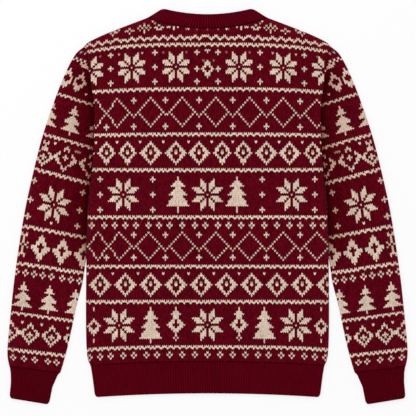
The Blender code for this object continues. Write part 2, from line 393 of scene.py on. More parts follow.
def wavyLine(sheet, middle, row, lows, tall=2):
    # a line that dips, by a course for each wale, towards the wales in lows
    for column in range(sheet.shape[1]):
        away = min(abs(column - middle - low) for low in lows)
        sheet[row + min(away, tall), column] = 5


def pinched(v, lines, share=0.4):
    # thin lines are knitted tighter: their two courses lie closer together
    v = np.asarray(v, float)
    starts, ends = np.array(lines), np.array(lines) + 2
    return v + share * np.isin(v, starts) - share * np.isin(v, ends)


def lattice(sheet, middle, row, centres, tall=12):
    # open diamonds joined by short links; each is (middle column, left reach, right reach)
    top = row + tall
    for index, (column, left, right) in enumerate(centres):
        for j in range(tall + 1):
            out = min(j, tall - j) / (tall / 2)
            for c in (column - round(left * out), column + round(right * out)):
                if 0 <= middle + c < sheet.shape[1]:
                    sheet[top - j, middle + c] = 1
        if index + 1 < len(centres):
            a = column + right
            b = centres[index + 1][0] - centres[index + 1][1]
            for c in range(a + 1, b):
                low = 8 if a + 1 < c < b - 1 else 7  # links hang through in their middle
                sheet[top - low, middle + c] = 1


def bothSides(*columns):
    return [side * c for c in columns for side in ((-1, 1) if c else (1,))]


# the pattern of the body, course by course up from the hem seam
bodyKnit = {
    "wale": 4.0,
    "reach": 58,  # wales on each side of the middle one
    "courses": 160,
    "lineSeed": 1,
    "stepSeed": 21,
    "chevron": 0.62,  # how far a stitch's middle hangs, in courses
    # course boundary and its height on the middle wale, where course heights change
    "levels": (
        (0, -294.1), (2, -287.7), (5, -275.1), (6, -271.7), (8, -263.3), (9, -259.5),
        (26, -189.8), (27, -185.6), (29, -177.3), (30, -171.9), (41, -125.2), (43, -118.6),
        (45, -110.2), (47, -103.2), (60, -47.1), (61, -42.2), (64, -29.1), (65, -24.9),
        (67, -16.5), (68, -12.3), (85, 57.6), (87, 64.4), (89, 72.8), (90, 78.5), (101, 125.2),
        (103, 132.6), (105, 141.0), (107, 150.5), (120, 209.4), (122, 218.5), (124, 226.9),
        (126, 236.0), (141, 295.4), (143, 303.2), (145, 311.6), (146, 316.9), (149, 325.4),
        (151, 335.6), (160, 370.7),
    ),
    # how far courses droop at the side, by height
    "droop": (
        (-293.6, 6.1), (-266.9, 4.8), (-181.4, 0.3), (-19.9, 0.3), (67.5, -0.8), (137.8, 2.8),
        (221.3, 6.3), (266.9, 7.4), (307.4, 12.9), (322.1, 14.8), (373.3, 15.6),
    ),
    "droopAt": 222.3,
    "droopPower": 3.2,
}
bodyLines = (6, 27, 43, 65, 87, 103, 122, 143)
wavyLows = (
    -58, -54, -50, -46, -41, -38, -34, -30, -27, -23, -19, -15, -11, -8, -4, 2, 6, 10, 13, 17, 22, 26,
    29, 33, 37, 41, 45, 49, 53,
)
# motifs that almost touch: half a wale of ground parts their tips, right of these stitches
partedTips = ((95, -10), (95, 33), (132, -4), (132, 3))


def bodyPattern():
    reach = bodyKnit["reach"]
    sheet = np.zeros((bodyKnit["courses"], 2 * reach + 1))
    put = partial(place, sheet, reach)
    put("dot", 3, bothSides(0, 6, 12, 18, 24, 29, 35, 40, 46, 51, 56), 4)
    for seed, row in enumerate(bodyLines, bodyKnit["lineSeed"]):
        straightLine(sheet, row, seed)
    put("star", 17, bothSides(0, 42))
    put("hemTree", 17, bothSides(27))
    put("ornament", 17, bothSides(15))
    put("gem", 16, bothSides(54))
    put("two", 24, bothSides(54))
    put("two", 10, bothSides(54))
    put("wideDiamond", 35, range(-51, 60, 12))
    put("stitch", 35, range(-51, 60, 12), 6)
    put("stitch", 36, range(-51, 60, 12), 0.5)
    put("stitch", 40, range(-57, 60, 12), 3)
    lower = [(-53, 5, 5), (-43, 5, 6), (-27, 6, 6), (-12, 6, 6), (4, 6, 6), (20, 6, 6), (36, 6, 6)]
    nearSide = [(-52, 5, 5), (-42, 5, 6), (-28, 6, 6)]
    lattice(sheet, reach, 47, nearSide + lower[3:] + [(52, 6, 6)])
    crosses = [-35, -20, -4, 12, 28, 44]
    put("cross", 58, crosses)
    put("cross", 48, crosses + [-48])
    dots = [-55, -49, -44, -39, -34, -28, -23, -18, -12, -6, -1, 5, 10, 16, 21, 27, 33, 39, 44, 50, 55]
    put("dot", 62, dots, 4)
    put("stitch", 62, dots, 0.15)
    put("star", 76, bothSides(0, 40))
    put("tree", 76, bothSides(14))
    for row in (69, 76, 83):
        put("cross", row, [-51, -26, 26, 51])
    put("wideDiamond", 95, [-27, -15, -4, 28, 39])
    put("slimDiamond", 95, [-58, -48, -38, 7, 17, 50])
    middles = [-58, -48, -38, -27, -15, -4, 7, 17, 28, 39, 50]
    put("stitch", 95, middles, 6)
    put("stitch", 96, middles, 0.5)
    put("stitch", 100, [-53, -43, -32, -21, -9, 2, 12, 23, 34, 45, 54], 3)
    lattice(sheet, reach, 107, lower + [(52, 6, 6)])
    put("cross", 118, crosses)
    put("cross", 107, crosses + [-48])
    put("smallStar", 133, bothSides(15, 36, 56))
    for row in (126, 133, 140):
        put("cross", row, bothSides(25, 46))
    for row in (126, 132, 140):
        put("cross", row, bothSides(5))
    put("tee", 140, [0])
    put("drop", 132, [0])
    put("stitch", 140, [-51, -21, -10, 9, 20, 52], 0.25)
    put("stitch", 140, bothSides(31, 42), 0.7)
    put("stitch", 136, [-2, 3], 0.25)
    wavyLine(sheet, reach, 146, wavyLows)
    put("asterisk", 152, bothSides(30))
    put("flower", 152, bothSides(23))
    put("wideDot", 151, bothSides(37))
    put("dot", 151, bothSides(45), 4)
    put("dot", 152, bothSides(43), 4)
    put("stitch", 152, bothSides(48, 50), 0.6)
    put("stitch", 155, bothSides(26), 4)
    put("stitch", 154, bothSides(25), 0.6)
    put("two", 151, bothSides(16), 4)
    put("stitch", 152, bothSides(14, 18, 19), 4)
    put("stitch", 151, bothSides(9), 4)
    put("stitch", 151, bothSides(10, 5, 0), 0.25)
    return sheet


def bodyCourseY(v, x):
    # where a course boundary runs, with its droop towards the sides
    y = lookUp(bodyKnit["levels"], pinched(v, bodyLines))
    droop = lookUp(bodyKnit["droop"], y)
    return y - droop * (np.abs(x) / bodyKnit["droopAt"]) ** bodyKnit["droopPower"]


# the pattern of a sleeve: wales counted in from the outer fold, courses up from the cuff
sleeveKnit = {
    "wale": 4.15,
    "reach": 33,
    "courses": 154,
    "lineSeed": 11,
    "stepSeed": 22,
    "chevron": 0.6,
    # course boundary, its height at the outer fold and at the inner side
    "levels": (
        (0, -302.8, -315.3), (8, -271.7, -284.0), (24, -201.4, -217.6), (25, -198.2, -214.5),
        (42, -139.3, -158.0), (44.5, -127.5, -146.5), (49, -107.4, -127.3), (65, -37.1, -59.9),
        (89, 71.3, 42.8), (105, 137.8, 110.2), (127, 214.7, 191.9), (148, 282.2, 270.8),
        (154, 303.4, 303.4),
    ),
    # how many wales the pattern leans away from the outer fold, by course
    "lean": (
        (0, 0.0), (10, 0.1), (20, 0.2), (28, 0.5), (42, 0.1), (51, 0.35), (62, 0.35), (69, 0.4),
        (84, -0.3), (91, 0.6), (102, 0.0), (108, 1.0), (123, -0.4), (131, 0.0), (154, 0.0),
    ),
}
sleeveLines = (7, 23, 48, 64, 88, 104, 126)


def sleevePattern():
    reach = sleeveKnit["reach"]
    sheet = np.zeros((sleeveKnit["courses"], 2 * reach))
    put = partial(place, sheet, reach)
    for seed, row in enumerate(sleeveLines, sleeveKnit["lineSeed"]):
        straightLine(sheet, row, seed)
    # near the shoulder the line breaks up into single stitches beside a star's petal
    for column in range(-8, 7):
        put("stitch", 147 + column % 2, [column], 4)
    put("stitch", 146, [-4, 4], 0.6)
    put("stitch", 151, [-3, 1, 3], 0.5)
    put("two", 145, [-6, 5, 6, 7, 8])
    put("stitch", 147, [8])
    put("dot", 4, [-28, -23, -18, -13, -8, -3, 2, 7, 12, 18, 22], 4)
    put("plusDiamond", 15, [-30, -20, -10, 0, 9, 19, 29])
    put("stitch", 20, [-25, -15, -5, 5, 14, 26], 3)
    put("sleeveTree", 33, [-31, -19, -8, 4, 16, 28])
    put("dot", 45, [-30, -26, -21, -17, -13, -9, -4, 0, 4, 8, 12, 16, 21, 25, 29], 4)
    put("fullDiamond", 56, [-29, -19, -8, 9, 19, 29])
    put("flake", 57, [1])
    put("star", 76, [-12, 12])
    put("stitch", 68, [12], 3)
    for row in (69, 76, 84):
        put("cross", row, [-25, 1, 24])
    put("bloom", 96, [-30, -19, -9, 12, 24])
    put("plusDiamond", 95, [2])
    put("stem", 100, [2])
    put("stitch", 102, [6], 3)
    put("stitch", 101, [16, 17, 18], 0.4)
    put("sleeveTree", 115, [-22, -11, -1, 10, 22])
    put("capDiamond", 136, [-12, -5, 1, 7])
    sheet[136:138, reach + 4] = 0  # ground between the last two
    put("stitch", 131, [12], 3)
    return sheet


def courseEnds(v):
    # where course boundaries start on the outer fold and end on the inner side
    v = pinched(v, sleeveLines)
    outerY, innerY = lookUp(sleeveKnit["levels"], v, 1), lookUp(sleeveKnit["levels"], v, 2)
    rising = outerLine[np.argsort(outerLine[:, 1])]
    outer = np.stack([np.interp(outerY, rising[:, 1], rising[:, 0]), outerY], axis=-1)
    below = innerLine[np.argsort(innerLine[:, 1])]
    wider = (cloth["creaseGap"] - cloth["seamGap"]) * smoothStep(*cloth["creaseFrom"], innerY)
    gap = cloth["seamGap"] + wider
    innerX = np.where(
        innerY > sleeveInner[0][1],
        bodyWidth(innerY) + gap,
        np.interp(innerY, below[:, 1], below[:, 0]),
    )
    return outer, np.stack([innerX, innerY], axis=-1)


# turning patterned grids into meshes
relief = {"edge": -0.42, "quarter": 0.34, "middle": -0.12}  # height across a wale
waleSteps = 4


def waleShape(u):
    # u is 0 at a wale's edge and 0.5 in its middle: the chevron's drop and the relief
    part = np.mod(u, 1.0)
    fromMiddle = np.abs(part - 0.5)
    heights = (relief["middle"], relief["quarter"], relief["edge"])
    return fromMiddle, np.interp(fromMiddle, (0.0, 0.25, 0.5), heights)


# how far the ground closes in on the edges of a colour, in wales and in courses, for a
# pattern's values: motifs, lines, single stitches, dots, the wavy line and diamonds' middles
nibbles = {
    1: (0.15, 0.17),
    2: (0.0, -0.22),
    3: (-0.04, 0.0),
    4: (0.06, 0.08),
    5: (0.0, -0.18),
    6: (-0.24, -0.1),
}
plainNibble = 0.05  # for any other value
innerDye = 0.92  # motifs are a little deeper inside than along their edges


def inQuarters(sheet, seed):
    # each stitch as narrow columns, with a thin line's steps joined where it changes course
    fine = np.repeat(sheet, waleSteps, axis=1)
    rng = np.random.default_rng(seed)
    line = (sheet == 2) | (sheet == 5)
    rising = line[:-1, :-1] & line[1:, 1:] & ~line[1:, :-1] & ~line[:-1, 1:]
    falling = line[1:, :-1] & line[:-1, 1:] & ~line[:-1, :-1] & ~line[1:, 1:]
    for steps, left, right in ((rising, 1, 0), (falling, 0, 1)):
        for r, c in zip(*np.nonzero(steps)):
            edge = waleSteps * (c + 1)
            spot = (r + left, edge - 1) if rng.random() < 0.5 else (r + right, edge)
            if fine[spot] == 0:
                fine[spot] = 2
    return fine


def closeIn(fine, axis):
    # how far the boundaries between stitches move along an axis, towards the motif beside them
    full = np.pad(fine, [(1, 1), (0, 0)] if axis == 0 else [(0, 0), (1, 1)])
    give = np.where(full == 0, 0, plainNibble)
    for value, ways in nibbles.items():
        give = np.where(full == value, ways[1 - axis], give)
    dyed = full > 0
    low, high = (slice(None, -1), slice(1, None))
    before, after = ((low,), (high,)) if axis == 0 else ((slice(None), low), (slice(None), high))
    forward = np.where(dyed[after] & ~dyed[before], give[after], 0)
    return forward - np.where(dyed[before] & ~dyed[after], give[before], 0)


def dyeOf(fine):
    whole = np.minimum(fine, 1)
    wide = np.pad(whole, ((1, 1), (waleSteps, waleSteps)))
    tall, across = whole.shape
    around = [
        wide[1 + a : 1 + a + tall, waleSteps + b : waleSteps + b + across]
        for a, b in ((-1, 0), (1, 0), (0, -waleSteps), (0, waleSteps))
    ]
    return whole * np.where(np.min(around, axis=0) > 0, innerDye, 1.0)


def agree(a, b):
    # the mean of two shifts, or the one that isn't nothing
    return np.where((a != 0) & (b != 0), (a + b) / 2, a + b)


def nibbleGrid(fine, v):
    # how far the vertices of a grid move, in wales and in courses
    up, across = closeIn(fine, 0), closeIn(fine, 1)
    up = agree(np.hstack([up[:, :1], up]), np.hstack([up, up[:, -1:]]))
    across = agree(np.vstack([across[:1], across]), np.vstack([across, across[-1:]]))
    onCourse = np.abs(v - np.round(v)) < 1e-6
    row = np.where(onCourse, np.round(v), np.floor(v)).astype(int)
    return across[row], up[row] * onCourse[:, None]


def cellCorners(grid):
    return np.stack([grid[:-1, :-1], grid[:-1, 1:], grid[1:, 1:], grid[1:, :-1]], axis=2)


def gridPlaces(u, v):
    return np.stack(np.broadcast_arrays(u[None], v[:, None]), axis=-1)


def gridFaces(index, colour, uv, flip):
    # faces of a grid, without those that have shrunk to nothing
    corners = cellCorners(index).reshape(-1, 4).tolist()
    spots = cellCorners(uv).reshape(-1, 4, 2)
    faces, uvs, dyes = [], [], []
    for ring, ringUv, dye in zip(corners, spots, colour.ravel()):
        seen = {}
        for vertex, spot in zip(ring, ringUv):
            seen.setdefault(vertex, spot)
        if len(seen) >= 3:
            turn = -1 if flip else 1
            faces.append(list(seen)[::turn])
            uvs.append(list(seen.values())[::turn])
            dyes.append(dye)
    return faces, uvs, dyes


def boundaryLoops(faces):
    # open edges of a surface joined into rings, along the direction of its faces
    edges = {(i, j): True for face in faces for i, j in zip(face, face[1:] + face[:1])}
    following = {}
    for i, j in edges:
        if (j, i) not in edges:
            following.setdefault(i, []).append(j)
    loops = []
    while following:
        loop, here = [], next(iter(following))
        while not loop or here != loop[0]:
            loop.append(here)
            there = following[here].pop()
            if not following[here]:
                del following[here]
            here = there
        loops.append(loop)
    return sorted(loops, key=len, reverse=True)


lining = {  # the coarse inner faces of panels and sleeves
    "panelSpacing": 15.0,
    "sleeveSpacing": 12.0,
    "clear": 6.0,  # how far its own places stay from the rim
    "wale": 4.0,  # width and height of its stitches
    "least": 0.2,  # half the room inside a sleeve, where it is thinnest
}


def fillLoop(plan, spacing):
    # a coarse net of triangles inside a ring of places, with its own places clear of the ring
    x0, y0 = plan.T
    x1, y1 = np.roll(plan, -1, axis=0).T

    def isInside(x, y):
        crosses = (y0 > y) != (y1 > y)
        at = x0 + (y - y0) * (x1 - x0) / np.where(crosses, y1 - y0, 1.0)
        isClear = np.hypot(x0 - x, y0 - y).min() >= lining["clear"]
        return isClear and np.count_nonzero(crosses & (at > x)) % 2 == 1

    low, high = plan.min(0), plan.max(0)
    xs = np.arange(low[0] + spacing / 2, high[0], spacing)
    ys = np.arange(low[1] + spacing / 2, high[1], spacing)
    middle = [(x, y) for y in ys for x in xs if isInside(x, y)]
    points = [Vector(spot) for spot in np.vstack([plan, middle]).tolist()]
    ring = [(i, (i + 1) % len(plan)) for i in range(len(plan))]
    places, _, triangles, origins, _, _ = delaunay_2d_cdt(points, ring, [], 1, 1e-5)
    source = [min(origin) if origin else -1 for origin in origins]
    return np.array(places), triangles, source


def closeShell(knit, loop, plan, rim, depthAt, layer, spacing, isOpen=None):
    # a layer's inner face, joined to the layer's edge where that is open
    places, triangles, source = fillLoop(plan, spacing)
    depth = depthAt(places[:, 0], places[:, 1])
    start, at = len(knit.points), {}
    for k, origin in enumerate(source):
        if 0 <= origin < len(loop):
            depth[k], at[origin] = rim[origin], start + k
    knit.points.extend(np.column_stack([places, depth]).tolist())
    knit.shade.extend([0.0] * len(places))
    for triangle in triangles:
        a, b, c = (places[i] for i in triangle)
        turning = (b[0] - a[0]) * (c[1] - a[1]) - (b[1] - a[1]) * (c[0] - a[0])
        ordered = triangle[::-1] if (turning > 0) == (layer > 0) else triangle
        knit.line([start + i for i in ordered])
    for k in range(len(loop)):
        n = (k + 1) % len(loop)
        if k in at and n in at and (isOpen is None or isOpen[k] and isOpen[n]):
            knit.line([loop[n], loop[k], at[k], at[n]])


def addObject(name, data):
    made = bpy.data.objects.new(name, data)
    bpy.context.scene.collection.objects.link(made)
    return made


class Knit:
    # vertices and faces of one piece while it is being made

    def __init__(self):
        self.points, self.faces, self.uvs, self.dye, self.shade = [], [], [], [], []

    def add(self, points, faces, uvs, dye, shade):
        base = len(self.points)
        self.points.extend(points.tolist())
        self.shade.extend(shade.ravel().tolist())
        self.faces.extend([[base + i for i in face] for face in faces])
        self.uvs.extend(uvs)
        self.dye.extend(dye)
        return base

    def line(self, face):
        # a plain face of the lining
        self.faces.append(face)
        self.uvs.append([[self.points[i][k] / lining["wale"] for k in (0, 1)] for i in face])
        self.dye.append(0.0)

    def finish(self, name, material, merge=0.0):
        # vertices closer than merge become one, and without merge all faces turn outwards
        data = bpy.data.meshes.new(name)
        data.from_pydata((np.array(self.points) * mm).tolist(), [], self.faces)
        layer = data.uv_layers.new(name="stitches")
        flat = np.array([spot for ring in self.uvs for spot in ring], dtype=np.float32)
        layer.data.foreach_set("uv", flat.ravel())
        for mark, domain, values in (("dye", "FACE", self.dye), ("shade", "POINT", self.shade)):
            written = data.attributes.new(mark, "FLOAT", domain)
            written.data.foreach_set("value", np.array(values, dtype=np.float32))
        tidy = bmesh.new()
        tidy.from_mesh(data)
        if merge:
            bmesh.ops.remove_doubles(tidy, verts=tidy.verts, dist=merge * mm)
            bmesh.ops.dissolve_degenerate(tidy, edges=tidy.edges, dist=1e-8)
        else:
            bmesh.ops.recalc_face_normals(tidy, faces=tidy.faces)
        tidy.to_mesh(data)
        tidy.free()
        data.shade_smooth()
        data.materials.append(material)
        data.validate()
        data.update()
        return addObject(name, data)


# nodes
def fill(tree, socket, value):
    # a link or a plain value
    if isinstance(value, bpy.types.NodeSocket):
        tree.links.new(value, socket)
    else:
        socket.default_value = value


def addNode(tree, kind, sockets=None, **settings):
    node = tree.nodes.new(kind)
    for key, setting in settings.items():
        setattr(node, key, setting)
    for key, value in (sockets or {}).items():
        fill(tree, node.inputs[key], value)
    return node


def mathNode(tree, operation, *values, clamp=False):
    sockets = dict(enumerate(values))
    return addNode(tree, "ShaderNodeMath", sockets, operation=operation, use_clamp=clamp).outputs[0]


def mapRange(tree, value, *ends):
    # from the first two ends to the last two
    return addNode(tree, "ShaderNodeMapRange", dict(enumerate((value, *ends)))).outputs[0]


def mixColour(tree, factor, a, b, blend="MIX"):
    node = addNode(tree, "ShaderNodeMix", data_type="RGBA", blend_type=blend)
    sockets = {socket.identifier: socket for socket in node.inputs}
    for key, value in (("Factor_Float", factor), ("A_Color", a), ("B_Color", b)):
        fill(tree, sockets[key], value)
    return next(socket for socket in node.outputs if socket.identifier == "Result_Color")


def newGroup(name, family, inputs, outputs):
    # inputs are a name, a kind and perhaps a value, and outputs a name and a kind
    tree = bpy.data.node_groups.new(name, family)
    for label, kind, *value in inputs:
        socket = tree.interface.new_socket(label, in_out="INPUT", socket_type="NodeSocket" + kind)
        if value:
            socket.default_value = value[0]
    for label, kind in outputs:
        tree.interface.new_socket(label, in_out="OUTPUT", socket_type="NodeSocket" + kind)
    return tree, tree.nodes.new("NodeGroupInput").outputs, tree.nodes.new("NodeGroupOutput").inputs


# yarn and knit materials; the darker copy of each yarn is painted shade, for the grooves between
# stitches or the valleys between ribs
yarns = {
    "red": (0.124, 0.0022, 0.0092, 1.0),
    "redGrooveShade": (0.062, 0.0008, 0.0036, 1.0),
    "cream": (0.905, 0.730, 0.600, 1.0),
    "creamGrooveShade": (0.520, 0.360, 0.270, 1.0),
    # painted shade: the linking yarn is the knit's red, darkened to stand for the shade along the
    # seams
    "seam": (0.040, 0.0006, 0.0028, 1.0),
    "seamValleyShade": (0.020, 0.0003, 0.0014, 1.0),
    "ribRed": (0.118, 0.0012, 0.0086, 1.0),
    "ribValleyShade": (0.024, 0.0003, 0.0016, 1.0),
}
stitchLook = {
    "legs": 0.45,  # the lower, the fuller a stitch is from leg to leg
    "bulge": 0.6,  # the same from its lower end to its upper one
    "twist": 5.0,
    "plySlant": 2.2,
    "plyHeight": 0.08,
}
napLook = {
    "cloudScale": 14.0,
    "fibreScale": 900.0,
    "roughness": 0.6,
    "fibreHeight": 0.5,
    # ends of the noise, and the light they stand for
    "clouds": (0.3, 0.7, 0.93, 1.05),
    "fibres": (0.25, 0.75, 0.84, 1.14),
}
woolLook = {
    "Roughness": 0.92,
    "Specular IOR Level": 0.0,
    "Sheen Roughness": 0.55,
    "Sheen Tint": (1.0, 0.2, 0.3, 1.0),
}
reliefDepth = 0.5
shadowLook = {
    "fading": (1.0, 1.5, 1.6),  # how fast red, green and blue fade
    "duller": 1.9,  # motifs, where the ground is lighter along folds
    "darkest": 0.02,
}


def stitchGroup():
    # relief, grooves and twist of a plain knit stitch, from its place in wales and courses
    inputs = (("Place", "Vector"), ("Twist", "Float", stitchLook["twist"]))
    outputs = (("Height", "Float"), ("Groove", "Float"), ("Tone", "Float"))
    tree, given, made = newGroup("stitchRelief", "ShaderNodeTree", inputs, outputs)
    calc = partial(mathNode, tree)
    spot = addNode(tree, "ShaderNodeSeparateXYZ", {0: given["Place"]}).outputs
    across = calc("ABSOLUTE", calc("SUBTRACT", calc("FRACT", spot[0]), 0.5))
    up = calc("FRACT", spot[1])
    legs = calc("MAXIMUM", calc("SINE", calc("MULTIPLY", across, 2 * math.pi)), 0.0)
    bulge = calc("MAXIMUM", calc("SINE", calc("MULTIPLY", up, math.pi)), 0.0)
    legs, bulge = calc("POWER", legs, stitchLook["legs"]), calc("POWER", bulge, stitchLook["bulge"])
    body = calc("MULTIPLY", legs, bulge)
    plies = calc("ADD", calc("MULTIPLY", across, stitchLook["plySlant"]), up)
    plies = calc("MULTIPLY", calc("MULTIPLY", plies, given["Twist"]), 2 * math.pi)
    plies = calc("MULTIPLY", calc("SINE", plies), stitchLook["plyHeight"])
    fill(tree, made["Height"], calc("ADD", body, plies))
    fill(tree, made["Groove"], calc("SUBTRACT", 1.0, body, clamp=True))
    # each leg of each stitch has its own tone
    halves = {0: given["Place"], 1: (2, 1, 1)}
    halves = addNode(tree, "ShaderNodeVectorMath", halves, operation="MULTIPLY").outputs[0]
    leg = addNode(tree, "ShaderNodeVectorMath", {0: halves}, operation="FLOOR").outputs[0]
    chance = addNode(tree, "ShaderNodeTexWhiteNoise", {"Vector": leg}, noise_dimensions="2D")
    fill(tree, made["Tone"], chance.outputs["Value"])
    return tree


def napGroup():
    # uneven dye and fluffy nap of wool, in object space
    scales = (("Cloud Scale", napLook["cloudScale"]), ("Fibre Scale", napLook["fibreScale"]))
    inputs = [(label, "Float", scale) for label, scale in scales]
    outputs = (("Cloud", "Float"), ("Fibre", "Float"))
    tree, given, made = newGroup("woolNap", "ShaderNodeTree", inputs, outputs)
    spot = addNode(tree, "ShaderNodeTexCoord").outputs["Object"]
    for label, detail in (("Cloud", 3.0), ("Fibre", 4.0)):
        sockets = {"Vector": spot, "Scale": given[label + " Scale"], "Detail": detail}
        sockets["Roughness"] = napLook["roughness"]
        fill(tree, made[label], addNode(tree, "ShaderNodeTexNoise", sockets).outputs["Fac"])
    return tree


stitchRelief = stitchGroup()
woolNap = napGroup()


def valleyMask(tree, spot, power):
    # 1 in the valleys between ribs and 0 on top of them
    across = addNode(tree, "ShaderNodeSeparateXYZ", {0: spot}).outputs[0]
    wave = mathNode(tree, "COSINE", mathNode(tree, "MULTIPLY", across, 2 * math.pi))
    return mathNode(tree, "POWER", mapRange(tree, wave, -1, 1, 0, 1), power)


def newMaterial(name):
    made = bpy.data.materials.new(name)
    made.use_nodes = True
    return made, made.node_tree


def setSurface(tree, finish):
    for label, value in finish.items():
        fill(tree, tree.nodes["Principled BSDF"].inputs[label], value)


def colourOf(tree, *parts):
    return addNode(tree, "ShaderNodeCombineColor", dict(enumerate(parts))).outputs[0]


def shadowTint(tree, shade, dye):
    # light on the cloth, warmer where it is in shadow
    calc = partial(mathNode, tree)
    lighter = calc("MULTIPLY", calc("MINIMUM", shade, 0.0), dye)
    shade = calc("SUBTRACT", shade, calc("MULTIPLY", lighter, shadowLook["duller"]))
    left = calc("MAXIMUM", calc("SUBTRACT", 1.0, shade), shadowLook["darkest"])
    return colourOf(tree, *(calc("POWER", left, power) for power in shadowLook["fading"]))


def knitMaterial(name, look):
    made, tree = newMaterial(name)
    calc, mix, ranged = (partial(make, tree) for make in (mathNode, mixColour, mapRange))
    spot = addNode(tree, "ShaderNodeUVMap", uv_map="stitches").outputs[0]
    stitch = addNode(tree, "ShaderNodeGroup", {"Place": spot}, node_tree=stitchRelief).outputs
    nap = addNode(tree, "ShaderNodeGroup", node_tree=woolNap).outputs
    marks = [addNode(tree, "ShaderNodeAttribute", attribute_name=mark) for mark in ("dye", "shade")]
    dye, shade = (mark.outputs["Fac"] for mark in marks)
    ground, groundShaded = (yarns[yarn] for yarn in look["ground"])
    if "motif" in look:
        motif, motifShaded = (yarns[yarn] for yarn in look["motif"])
        # painted shade: each stitch darkens into the darker yarn copy towards the grooves beside it
        groove = calc("MULTIPLY", stitch["Groove"], look["groove"])
        colour = mix(dye, mix(groove, ground, groundShaded), mix(groove, motif, motifShaded))
    else:
        # painted shade: ribs darken in their valleys, by the share this attribute gives
        valleyShade = valleyMask(tree, spot, look["valleyPower"])
        colour = mix(calc("MULTIPLY", valleyShade, dye, clamp=True), ground, groundShaded)
    wool = calc("MULTIPLY", ranged(nap["Cloud"], *napLook["clouds"]),
                ranged(nap["Fibre"], *napLook["fibres"]))
    spread = ranged(dye, 0, 1, *look["tone"])
    tone = calc("ADD", 1.0, calc("MULTIPLY", ranged(stitch["Tone"], 0, 1, -1, 1), spread))
    light = calc("MULTIPLY", wool, tone)
    colour = mix(1.0, colour, colourOf(tree, light, light, light), "MULTIPLY")
    colour = mix(1.0, colour, shadowTint(tree, shade, dye), "MULTIPLY")
    height = calc("MULTIPLY", nap["Fibre"], napLook["fibreHeight"])
    height = calc("ADD", stitch["Height"], height)
    bump = {"Strength": look["bump"], "Distance": reliefDepth * mm, "Height": height}
    bump = addNode(tree, "ShaderNodeBump", bump).outputs[0]
    finish = {"Base Color": colour, "Sheen Weight": look["sheen"], "Normal": bump}
    setSurface(tree, {**finish, **woolLook})
    return made


patternedLook = {
    "ground": ("red", "redGrooveShade"),
    "motif": ("cream", "creamGrooveShade"),
    # how much painted shade the grooves between stitches take
    "groove": 0.75,
    "tone": (0.36, 0.18),  # how much stitches differ, in the ground and in the motifs
    "sheen": 0.04,
    "bump": 0.8,
}
ribLook = {
    "ground": ("ribRed", "ribValleyShade"),
    "valleyPower": 1.2,
    "tone": (0.10, 0.10),
    "sheen": 0.02,
    "bump": 0.35,
}
seamLook = {
    "ground": ("seam", "seamValleyShade"),
    "valleyPower": 1.0,
    "tone": (0.1, 0.1),
    "sheen": 0.0,
    "bump": 0.4,
}
patternedKnit = knitMaterial("patternedKnit", patternedLook)
ribKnit = knitMaterial("ribKnit", ribLook)
seamYarn = knitMaterial("seamYarn", seamLook)

# front and back panels
panelLook = {
    "capSteps": 3,  # grid rows for each course near the neck and shoulders
    "capFrom": 147,  # the course where those start
    "hemRise": 0.15,  # each course lies at least this much above the one below it
    "near": 0.05,  # vertices closer to an edge move onto it
    "nearTip": 0.3,
    "shoulderLight": (0.2, 16.0),  # how much lighter, and how far in
    "sideLight": (0.14, 12.0),
    "sideLightFrom": (20.0, -40.0),
}
topLine = shoulderLine[np.argsort(shoulderLine[:, 0])]


def panelTop(x, neck):
    x = np.abs(x)
    return np.where(x < neckPoint[0], neck(x), np.interp(x, topLine[:, 0], topLine[:, 1]))


def panelSines(x, y):
    # rounding by the side fold and by the shoulder: how far inwards from each, and how far up
    sideCos, sideSin = foldAt(bodyWidth(y) - np.abs(x), y)
    topCos, topSin = noseAt(distanceTo(shoulderLine, x, y))
    return sideCos, topCos, sideSin * topSin


def inwardFromShoulder(x):
    slope = np.gradient(topLine[:, 1], topLine[:, 0])
    s = np.interp(np.abs(x), topLine[:, 0], slope)
    way = np.stack([s * np.sign(x), -np.ones_like(s)], axis=-1)
    return way / np.linalg.norm(way, axis=-1)[..., None]


def panelSurface(x, y, layer):
    height = heightAt(x, y)
    sideCos, topCos, sine = panelSines(x, y)
    half, gap = height / 2, cloth["seamGap"] / 2
    outer = half + layer * (gap + (half - gap) * sine)
    inner = half + layer * (gap + (half - gap - cloth["wall"]) * sine)
    return outer, inner, sideCos, topCos, sine


def trimTop(index, y, top):
    # what lies over the neck or a shoulder shrinks onto its edge
    over = y >= top - panelLook["near"]
    for c in range(y.shape[1]):
        rows = np.nonzero(over[:, c])[0]
        if len(rows):
            y[rows, c] = top[rows[0], c]
            index[rows, c] = index[rows[0], c]


def trimSides(index, x, y, straight):
    # what lies outside the armholes and side folds shrinks onto them
    edgeY = straight.copy()
    edgeY[0] = hemY(bodyWidth(hemY(220.0)))  # where the hem seam ends at the side
    beyond = (np.abs(x) >= bodyWidth(straight) - panelLook["near"]) | (np.abs(x) >= shoulderTip[0])
    tipY = shoulderTip[1] - panelLook["nearTip"]
    for r in range(x.shape[0]):
        for sign in (-1, 1):
            out = np.nonzero(beyond[r] & (np.sign(x[r]) == sign))[0]
            if not len(out):
                continue
            first = out[0] if sign > 0 else out[-1]
            isTip = straight[r, first] >= tipY
            yEdge = shoulderTip[1] if isTip else edgeY[r, first]
            width = shoulderTip[0] if isTip else float(bodyWidth(yEdge))
            x[r, out], y[r, out] = sign * width, yEdge
            tipRow = np.nonzero(straight[:, first] >= tipY)[0][0] if isTip else r
            index[r, out] = index[tipRow, first]


def insetPanel(x, sideCos, topCos):
    way = sideCos[:, None] * np.stack([-np.sign(x), np.zeros_like(x)], axis=1)
    return way + topCos[:, None] * inwardFromShoulder(x)


